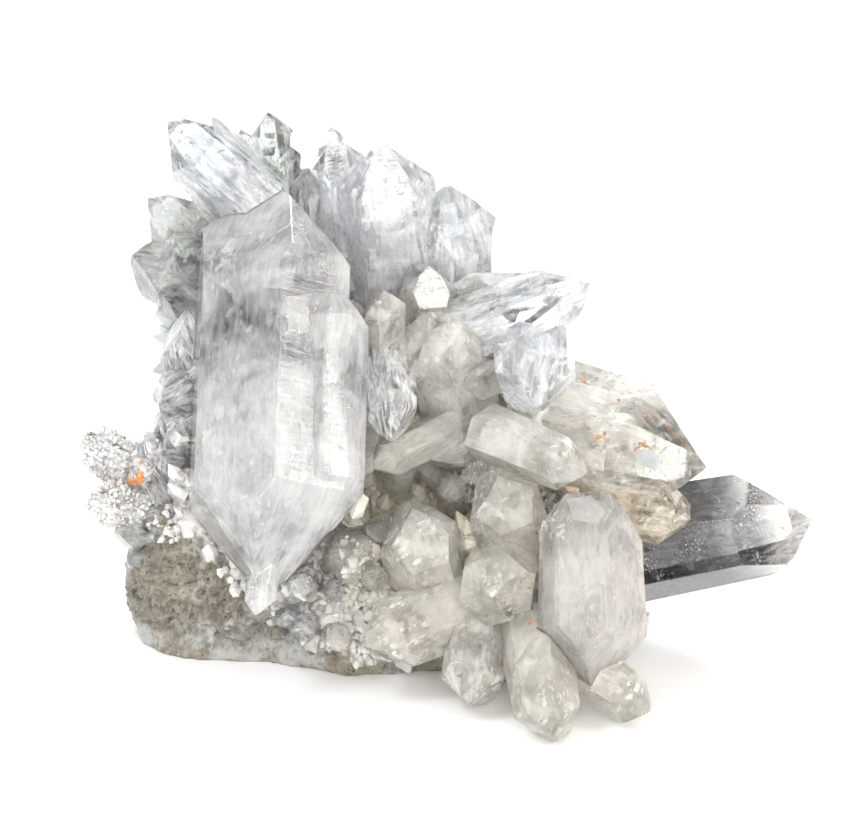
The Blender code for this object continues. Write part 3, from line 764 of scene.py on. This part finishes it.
def rockMaterial():
    material, tree, shader = newMaterial("sandyRock")
    coords = objectPlace(tree)
    sand = ramp(tree, noiseAt(tree, coords, 900, 6.0, 0.7), *rock["sand"])
    patches = ramp(tree, noiseAt(tree, coords, 60, 5.0, 0.6), *rock["patches"])
    body = blendColour(tree, 0.85, sand, patches, "MULTIPLY")
    grains = addNode(tree, "ShaderNodeTexVoronoi", {"Vector": coords, "Scale": 1000})
    specks = ramp(tree, grains.outputs["Distance"], (0.12, 1.0), (0.30, 0.0))
    gate = ramp(tree, noiseAt(tree, coords, 400, 2.0), (0.46, 0.0), (0.58, 1.0))
    sandy = blendColour(tree, maths(tree, "MULTIPLY", specks, gate), body, (0.05, 0.045, 0.04))
    # A bluish-white sugary crust in patches, and painted shade darkening the cracks and pits
    fine = maths(tree, "MULTIPLY", noiseAt(tree, coords, 800, 3.0), 0.25)
    frost = ramp(tree, maths(tree, "ADD", noiseAt(tree, coords, 75, 4.0), fine), (0.60, 0.0), (0.69, 0.75))
    sandy = blendColour(tree, frost, sandy, (0.80, 0.84, 0.88))
    crust = ramp(tree, noiseAt(tree, coords, 160, 5.0), *rock["crust"])
    coloured = blendColour(tree, fromAttribute(tree, "drusy"), sandy, crust)
    paintedCrackShade = ramp(tree, fromAttribute(tree, "crackShadeMask"), (0.35, 0.0), (0.85, 0.5))
    grain = maths(tree, "ADD", noiseAt(tree, coords, 800, 8.0, 0.7), noiseAt(tree, coords, 2600, 4.0, 0.7))
    feed(tree, shader, {
        "Base Color": blendColour(tree, paintedCrackShade, coloured, (0.42, 0.38, 0.31), "MULTIPLY"),
        "Roughness": ramp(tree, noiseAt(tree, coords, 1400, 2.0), (0.4, 0.85), (0.75, 0.35)),
        "Normal": bumpFrom(tree, grain, 0.8, 0.0006)})
    return material


def fieldAt(spots, size, octaves, offset=0.0):  # fractal noise at each world point, for a feature size in millimetres
    drift = Vector((offset, -offset, 2 * offset))
    return np.array([noise.fractal(Vector(spot) / (size * mm) + drift, 0.9, 2.1, octaves) for spot in spots])


def buildRock():
    melt = bmesh.new()
    melt.from_mesh(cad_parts["drusy_rock"].data)
    bmesh.ops.remove_doubles(melt, verts=melt.verts[:], dist=1e-5)
    obj = addPiece("rock_body", meshOf(melt, "rock_body"))
    remesh = obj.modifiers.new("remesh", "REMESH")
    remesh.mode = "VOXEL"
    remesh.voxel_size = rock["voxel"] * mm
    settle(obj)
    mesh = obj.data
    mesh.materials.clear()
    mesh.materials.append(rockMaterial())
    spots, facing = readPoints(mesh), readPoints(mesh, "normal")
    lumps = fieldAt(spots, rock["lumpSize"], 3)
    crags = 1 - 2 * np.abs(fieldAt(spots, rock["cragSize"], 4, 3.1))
    grain = fieldAt(spots, rock["grainSize"], 2, 7.7)
    push = rock["lumps"] * (lumps - 0.5) + rock["crags"] * (crags - 0.7) + rock["grain"] * grain - rock["inset"]
    steady = np.clip((spots[:, 2] / mm - 0.5) / rock["underside"], 0, 1)  # the foot stays flat
    moved = spots + facing * (np.clip(push, *rock["pushed"]) * steady * mm)[:, None]
    moved[:, 2] = np.maximum(moved[:, 2], rock["floor"] * mm)
    mesh.vertices.foreach_set("co", moved.ravel())
    mesh.update()
    markDruse(mesh, moved, facing, push)
    finishPiece(obj, "drusy_rock", "drusy_rock")
    return obj


def markDruse(mesh, moved, facing, push):  # where each kind of druse grows, and where the rock is cracked, for painted shade
    local = moved / mm - np.array(shift)
    u, v = local @ np.array(right), local @ np.array(up)
    line = rock["bareTop"] - rock["bareSlope"] * (u - rock["bareLeft"])
    share = np.clip((v - line + 5 * fieldAt(moved, 6, 1)) / 4, 0, 1)
    share *= np.clip((facing @ np.array(out) + 0.25) * 3, 0, 1)
    near = np.min([outside(crystal, moved) for crystal in allCrystals], axis=0)
    share[(near < 0.2 * mm) | (moved[:, 2] < 2.5 * mm)] = 0
    # painted shade mask: larger where the surface is pushed in
    crackShadeMask = np.clip(0.5 - 0.6 * push / 2, 0, 1)
    patchLeft, patchHigh, reach = rock["sugarPatch"]
    patch = np.clip(1 - np.hypot((u - patchLeft) / reach, (v - patchHigh) / reach) ** 4, 0, 1)
    sugar = (facing @ np.array(out) > -0.4) * (near > 0.1 * mm) * patch
    high = share * np.clip((v - 62) / 4, 0, 1)
    heart = np.array(place(*hollow["centre"])) / mm - np.array(shift)
    deep = share * (np.linalg.norm(local - heart, axis=1) < hollow["deep"])
    for name, values in (("drusy", share), ("crackShadeMask", crackShadeMask), ("sugar", sugar), ("upper", high), ("deep", deep)):
        mesh.attributes.new(name, "FLOAT", "POINT").data.foreach_set("value", values)


rockBody = buildRock()
print("rock weathered:", len(rockBody.data.polygons), "faces")


# Druse: thousands of small blocky quartz crystals that grow out of the rock
def druse(name, mask, spacing, density, size, tilt, seed):  # spacing and size in millimetres, density a square metre
    return {"name": name, "mask": mask, "spacing": spacing, "density": density, "size": size, "tilt": tilt,
            "seed": seed}


druseSets = [druse("fine_druse", "drusy", 1.0, 1200000.0, (0.5, 1.0), 0.4, 4),
             druse("coarse_druse", "drusy", 2.9, 160000.0, (1.0, 2.0), 0.5, 9),
             druse("upper_druse", "upper", 3.3, 120000.0, (1.5, 3.1), 0.5, 17),
             druse("hollow_druse", "deep", 2.6, 160000.0, (1.3, 2.4), 0.6, 23),
             druse("sugar_patch", "sugar", 0.6, 3000000.0, (0.3, 0.8), 0.8, 37)]
edgeCrust = druse("edge_crust", "drusy", 0.8, 3000000.0, (0.25, 0.6), 0.8, 31)


def druseMaterial():
    material, tree, shader = newMaterial("druseQuartz")
    coords = objectPlace(tree)
    shade = maths(tree, "ADD", awayFrom(tree, coords, hollow["centre"], hollow["reach"]),
                  swing(tree, noiseAt(tree, coords, 90, 3.0), 0.5, 0.8))
    colour = ramp(tree, shade, (0.25, (0.94, 0.87, 0.70)), (0.7, (0.975, 0.945, 0.875)), (1.0, (0.99, 0.975, 0.955)))
    nearCorner = ramp(tree, awayFrom(tree, coords, mossy["centre"], mossy["reach"]), (0.5, 1.0), (1.0, 0.0))
    tone = maths(tree, "ADD", maths(tree, "MULTIPLY", fromAttribute(tree, "tone"), 0.6),
                 maths(tree, "MULTIPLY", noiseAt(tree, coords, 300, 2.0), 0.6))
    milk = ramp(tree, tone, (0.30, 0.42), (0.85, 0.78))
    feed(tree, shader, {
        "Base Color": blendColour(tree, nearCorner, colour, mossy["colour"]), "IOR": quartz["ior"],
        "Transmission Weight": maths(tree, "SUBTRACT", 0.95, milk, clamp=True),
        "Roughness": maths(tree, "MULTIPLY_ADD", milk, 0.25, 0.06)})
    return material


druseFinish = druseMaterial()


def druseTree(settings):  # six-sided points stood on the rock, in nodes
    tree = bpy.data.node_groups.new(settings["name"], "GeometryNodeTree")
    for label, kind in (("Geometry", "Geometry"), ("Spacing", "Float"), ("Density", "Float"), ("Smallest", "Float"),
                        ("Largest", "Float"), ("Tilt", "Float"), ("Seed", "Int")):
        tree.interface.new_socket(label, in_out="INPUT", socket_type="NodeSocket" + kind)
    tree.interface.new_socket("Geometry", in_out="OUTPUT", socket_type="NodeSocketGeometry")
    given = addNode(tree, "NodeGroupInput").outputs
    mask = addNode(tree, "GeometryNodeInputNamedAttribute", {"Name": settings["mask"]}, data_type="FLOAT")
    spread = addNode(tree, "GeometryNodeDistributePointsOnFaces", distribute_method="POISSON")
    feed(tree, spread, {"Mesh": given["Geometry"], "Distance Min": given["Spacing"], "Density Max": given["Density"],
                        "Seed": given["Seed"], "Density Factor": mask.outputs["Attribute"]})
    # One crystal: a short shaft sunk in the rock, and a tip at quartz's own slope
    shaft = addNode(tree, "GeometryNodeMeshCylinder", {"Vertices": 6, "Radius": 1.0, "Depth": 1.8}, fill_type="NONE")
    cap = addNode(tree, "GeometryNodeMeshCone", {"Vertices": 6, "Radius Bottom": 1.0, "Radius Top": 0.12,
                                                 "Depth": 1.1}, fill_type="NONE")
    lid = addNode(tree, "GeometryNodeMeshCircle", {"Vertices": 6, "Radius": 0.12}, fill_type="NGON")
    whole = addNode(tree, "GeometryNodeJoinGeometry")
    for piece, height in ((shaft, -0.3), (cap, 0.6), (lid, 1.7)):
        lift = addNode(tree, "GeometryNodeTransform", {"Geometry": piece.outputs["Mesh"],
                                                       "Translation": (0, 0, height)})
        feed(tree, whole, {"Geometry": lift.outputs["Geometry"]})
    weld = addNode(tree, "GeometryNodeMergeByDistance", {"Geometry": whole.outputs["Geometry"], "Distance": 0.001})
    sway = addNode(tree, "FunctionNodeRandomValue", {0: (-1, -1, -1), 1: (1, 1, 1), "Seed": given["Seed"]},
                   data_type="FLOAT_VECTOR")
    spin = addNode(tree, "ShaderNodeVectorMath", {0: sway.outputs[0], "Scale": given["Tilt"]}, operation="SCALE")
    lean = addNode(tree, "ShaderNodeVectorMath", {0: spread.outputs["Normal"], 1: spin.outputs[0]}, operation="ADD")
    aim = addNode(tree, "FunctionNodeAlignRotationToVector", {"Vector": lean.outputs[0]}, axis="Z")
    size = addNode(tree, "FunctionNodeRandomValue", {2: given["Smallest"], 3: given["Largest"]}, data_type="FLOAT")
    shape = addNode(tree, "FunctionNodeRandomValue", {0: (0.75, 0.9, 0.8), 1: (1.1, 1.2, 1.3), "Seed": 6},
                    data_type="FLOAT_VECTOR")
    stretch = addNode(tree, "ShaderNodeVectorMath", {0: shape.outputs[0], "Scale": size.outputs[1]}, operation="SCALE")
    grow = addNode(tree, "GeometryNodeInstanceOnPoints", {
        "Points": spread.outputs["Points"], "Instance": weld.outputs["Geometry"], "Rotation": aim.outputs[0],
        "Scale": stretch.outputs[0]})
    tint = addNode(tree, "FunctionNodeRandomValue", {"Seed": 8}, data_type="FLOAT")
    store = addNode(tree, "GeometryNodeStoreNamedAttribute", data_type="FLOAT", domain="INSTANCE")
    feed(tree, store, {"Geometry": grow.outputs["Instances"], "Name": "tone", "Value": tint.outputs[1]})
    real = addNode(tree, "GeometryNodeRealizeInstances", {"Geometry": store.outputs["Geometry"]})
    coat = addNode(tree, "GeometryNodeSetMaterial", {"Geometry": real.outputs["Geometry"], "Material": druseFinish})
    addNode(tree, "NodeGroupOutput", {"Geometry": coat.outputs["Geometry"]})
    return tree


def growDruse(settings, ground, slot):
    tree = druseTree(settings)
    carrier = addPiece(settings["name"], ground.copy())
    modifier = carrier.modifiers.new("druse", "NODES")
    modifier.node_group = tree
    values = {"Spacing": settings["spacing"] * mm, "Density": settings["density"], "Smallest": settings["size"][0] * mm,
              "Largest": settings["size"][1] * mm, "Tilt": settings["tilt"], "Seed": settings["seed"]}
    for item in tree.interface.items_tree:
        if item.in_out == "INPUT" and item.name in values:
            modifier[item.identifier] = values[item.name]
    settle(carrier)
    finishPiece(carrier, slot)
    print(settings["name"], len(carrier.data.polygons), "faces")


for settings in druseSets:
    growDruse(settings, rockBody.data, "drusy_rock")
# The two points at the left edge are buried in a sugary crust
crustGround = bpy.data.objects["left_edge_points_quartz"].data.copy()
crustGround.attributes.new("drusy", "FLOAT", "POINT").data.foreach_set("value", np.ones(len(crustGround.vertices)))
growDruse(edgeCrust, crustGround, "left_edge_points")


# Crystals a few millimetres across that stand on the rock between the large ones
smallOnes = [  # root, tip, radius, turn and finish
    ((-22, 44, -14), (-17.4, 44.6, 2), 3.0, 20, "warm"), ((-20, 33, -16), (-17.6, 36, 1), 4.9, 12, "warm"),
    ((-33, 26, -16), (-27.6, 31, 3), 3.3, 25, "cool"), ((-49, 56, -24), (-54, 61.6, -6), 3.5, 5, "white"),
    ((-49, 46, -22), (-53.8, 49.8, -6), 3.5, 18, "white"), ((-54, 34, -30), (-64.4, 33, -20), 4.1, 10, "green"),
    ((-54, 28, -32), (-64, 27, -22), 3.5, 22, "green"), ((-50, 40, -30), (-64, 41, -18), 4.5, 8, "green"),
    ((-27, 22, -16), (-29, 20.5, -1), 2.7, 14, "cool"), ((-24, 20, -14), (-20.4, 18, 1), 2.5, 2, "warm"),
    ((8, 64, -18), (-14.6, 52.6, -3), 3.7, 12, "warm"), ((14, 63, -24), (-3, 54.5, -8), 4.6, 20, "smoky"),
    ((-13, 66, -16), (-17.6, 50.4, -2), 2.6, 8, "warm"), ((24, 55, -24), (3, 50.5, -10), 4.4, 5, "warm"),
    ((-10, 48, -26), (-9, 54.5, -9), 3.2, 16, "smoky"), ((2, 44, -24), (1.5, 49.5, -7), 3.0, 11, "warm"),
    ((-12, 38, -18), (-13.2, 41.4, 0), 2.8, 24, "warm"), ((-16, 30, -14), (-14.0, 30.6, 2.5), 2.5, 3, "warm"),
    ((-22, 28, -14), (-23.0, 28.4, 2), 2.2, 19, "cool"), ((-30, 22, -14), (-33.0, 22.8, 0), 1.9, 9, "cool"),
    ((-38, 30, -14), (-39.6, 29.6, 3), 2.0, 13, "cool"), ((-46, 66, -28), (-49.2, 74, -9), 3.6, 21, "white"),
    ((-44, 96, -30), (-48.6, 99, -17), 4.2, 7, "green"), ((-46, 84, -32), (-57.0, 87.4, -19), 4.4, 15, "green"),
    ((-28, 100, -28), (-27.4, 112.6, -14), 3.6, 17, "cool"), ((-1, 80, -30), (-6.0, 92.4, -9), 4.2, 6, "cool"),
    ((6, 76, -28), (6.6, 90.4, -10), 4.6, 10, "smoky"), ((6, 70, -24), (8.4, 70.6, -3), 4.4, 22, "smoky"),
    ((-54, 46, -28), (-60.5, 60.0, -16), 4.0, 12, "white"), ((-52, 50, -28), (-56.6, 65.0, -16), 3.8, 20, "white"),
    ((-56, 44, -28), (-63.5, 54.6, -15), 3.6, 4, "white"), ((-52, 54, -26), (-57.0, 55.4, -11), 3.4, 16, "white"),
    ((-55, 40, -29), (-67.0, 39.6, -18), 4.2, 9, "green")]
smallSeed = 51


def buildSmallOnes():
    blocks = []
    for count, (root, tip, radius, turn, look) in enumerate(smallOnes):
        crystal = prepare(point(root, tip, radius, turn, seed=smallSeed + count, look=look))
        block = crystalBlock(crystal)
        bmesh.ops.bevel(block, geom=block.edges[:], offset=quartz["edge"] * mm, segments=2, affect="EDGES")
        blocks.append((crystal, block))
    crystalPiece("small_crystals", "drusy_rock", quartzMaterials, blocks)


buildSmallOnes()
print("small crystals stood on the rock")


# Rust on the ground between the crystals, where the photograph has it: pixel and size
groundStains = {"seed": 8, "spots": [(133, 477, 1.5), (129, 483, 1.0), (138, 481, 1.1), (531, 622, 0.8)]}


def buildGroundStains():
    sceneGraph = bpy.context.evaluated_depsgraph_get()
    dice = random.Random(groundStains["seed"])
    blobs = []
    for x, y, size in groundStains["spots"]:
        hit, spot = bpy.context.scene.ray_cast(sceneGraph, fromPhoto(x, y, 90), -out)[:2]
        for k in range(9 if hit else 0):
            centre = spot + scatter(dice, 1, 0.4, 1) * size * 0.5 * mm
            blobs.append((centre, Vector((1, 1, 1)) * size * dice.uniform(0.2, 0.5) * mm))
    bloomPiece("ground_stains", "drusy_rock", blobs, 0.8, 1800)


buildGroundStains()
print("rust set on the ground")


# Stage: pale floor, soft light, and a long lens at the photograph's height
stage = {"floorSize": 9.0, "lens": 300.0, "distance": 1430.0, "centre": (-3.4, 63.6, 0), "skyStrength": 1.12,
         "bounces": {"max": 8, "diffuse": 3, "glossy": 3, "transmission": 8}}


def buildFloor():
    half = stage["floorSize"] / 2
    mesh = bpy.data.meshes.new("floor")
    mesh.from_pydata([(-half, -half, 0), (half, -half, 0), (half, half, 0), (-half, half, 0)], [], [(0, 1, 2, 3)])
    floor = addPiece("floor", mesh)
    material, tree, shader = newMaterial("paleFloor")
    feed(tree, shader, {"Base Color": (0.95, 0.95, 0.95), "Roughness": 0.95, "Specular IOR Level": 0.1})
    mesh.materials.append(material)


def buildWorld():
    world = bpy.data.worlds.new("studio")
    world.use_nodes = True
    bpy.context.scene.world = world
    tree = world.node_tree
    toward = addNode(tree, "ShaderNodeTexCoord").outputs["Generated"]
    height = addNode(tree, "ShaderNodeSeparateXYZ", {0: toward}).outputs["Z"]
    sky = ramp(tree, maths(tree, "MULTIPLY_ADD", height, 0.5),
               (0.0, (0.90, 0.88, 0.85)), (0.5, (0.90, 0.89, 0.88)), (0.60, (0.55, 0.55, 0.56)),
               (0.78, (1.0, 1.03, 1.08)), (1.0, (1.2, 1.26, 1.36)))
    feed(tree, tree.nodes["Background"], {"Color": sky, "Strength": stage["skyStrength"]})


def addLight(name, spot, target, size, power, colour):
    data = bpy.data.lights.new(name, "AREA")
    data.shape = "RECTANGLE"
    data.size, data.size_y = size
    data.energy = power
    data.color = colour
    lamp = bpy.data.objects.new(name, data)
    bpy.context.scene.collection.objects.link(lamp)
    lamp.location = spot
    lamp.rotation_mode = "QUATERNION"
    lamp.rotation_quaternion = (Vector(target) - Vector(spot)).to_track_quat("-Z", "Y")


def buildCamera():
    data = bpy.data.cameras.new("camera")
    data.lens = stage["lens"]
    data.sensor_width = 36
    camera = bpy.data.objects.new("camera", data)
    bpy.context.scene.collection.objects.link(camera)
    camera.location = place(*stage["centre"]) + out * stage["distance"] * mm
    camera.rotation_mode = "QUATERNION"
    camera.rotation_quaternion = (-out).to_track_quat("-Z", "Y")
    data.clip_start, data.clip_end = 0.01, 50
    bpy.context.scene.camera = camera


buildFloor()
buildWorld()
addLight("keySoftbox", (-0.55, -0.30, 0.85), (0, 0, 0.05), (0.30, 0.30), 3.4, (0.96, 0.98, 1.0))
addLight("rightStrip", (0.7, -0.25, 0.35), (0, 0, 0.05), (0.12, 0.5), 2, (1.0, 0.97, 0.93))
addLight("frontSoftbox", (0.15, -1.1, 0.45), (0, 0, 0.05), (0.5, 0.35), 6.4, (1.0, 0.985, 0.95))
addLight("backSoftbox", (0.15, 0.7, 0.75), (0, 0, 0.05), (0.7, 0.3), 6, (0.93, 0.97, 1.0))
buildCamera()
bpy.context.scene.view_settings.view_transform = "Standard"
for kind, most in stage["bounces"].items():  # light has to pass through many crystals
    setattr(bpy.context.scene.cycles, kind + "_bounces", most)
print("stage built")
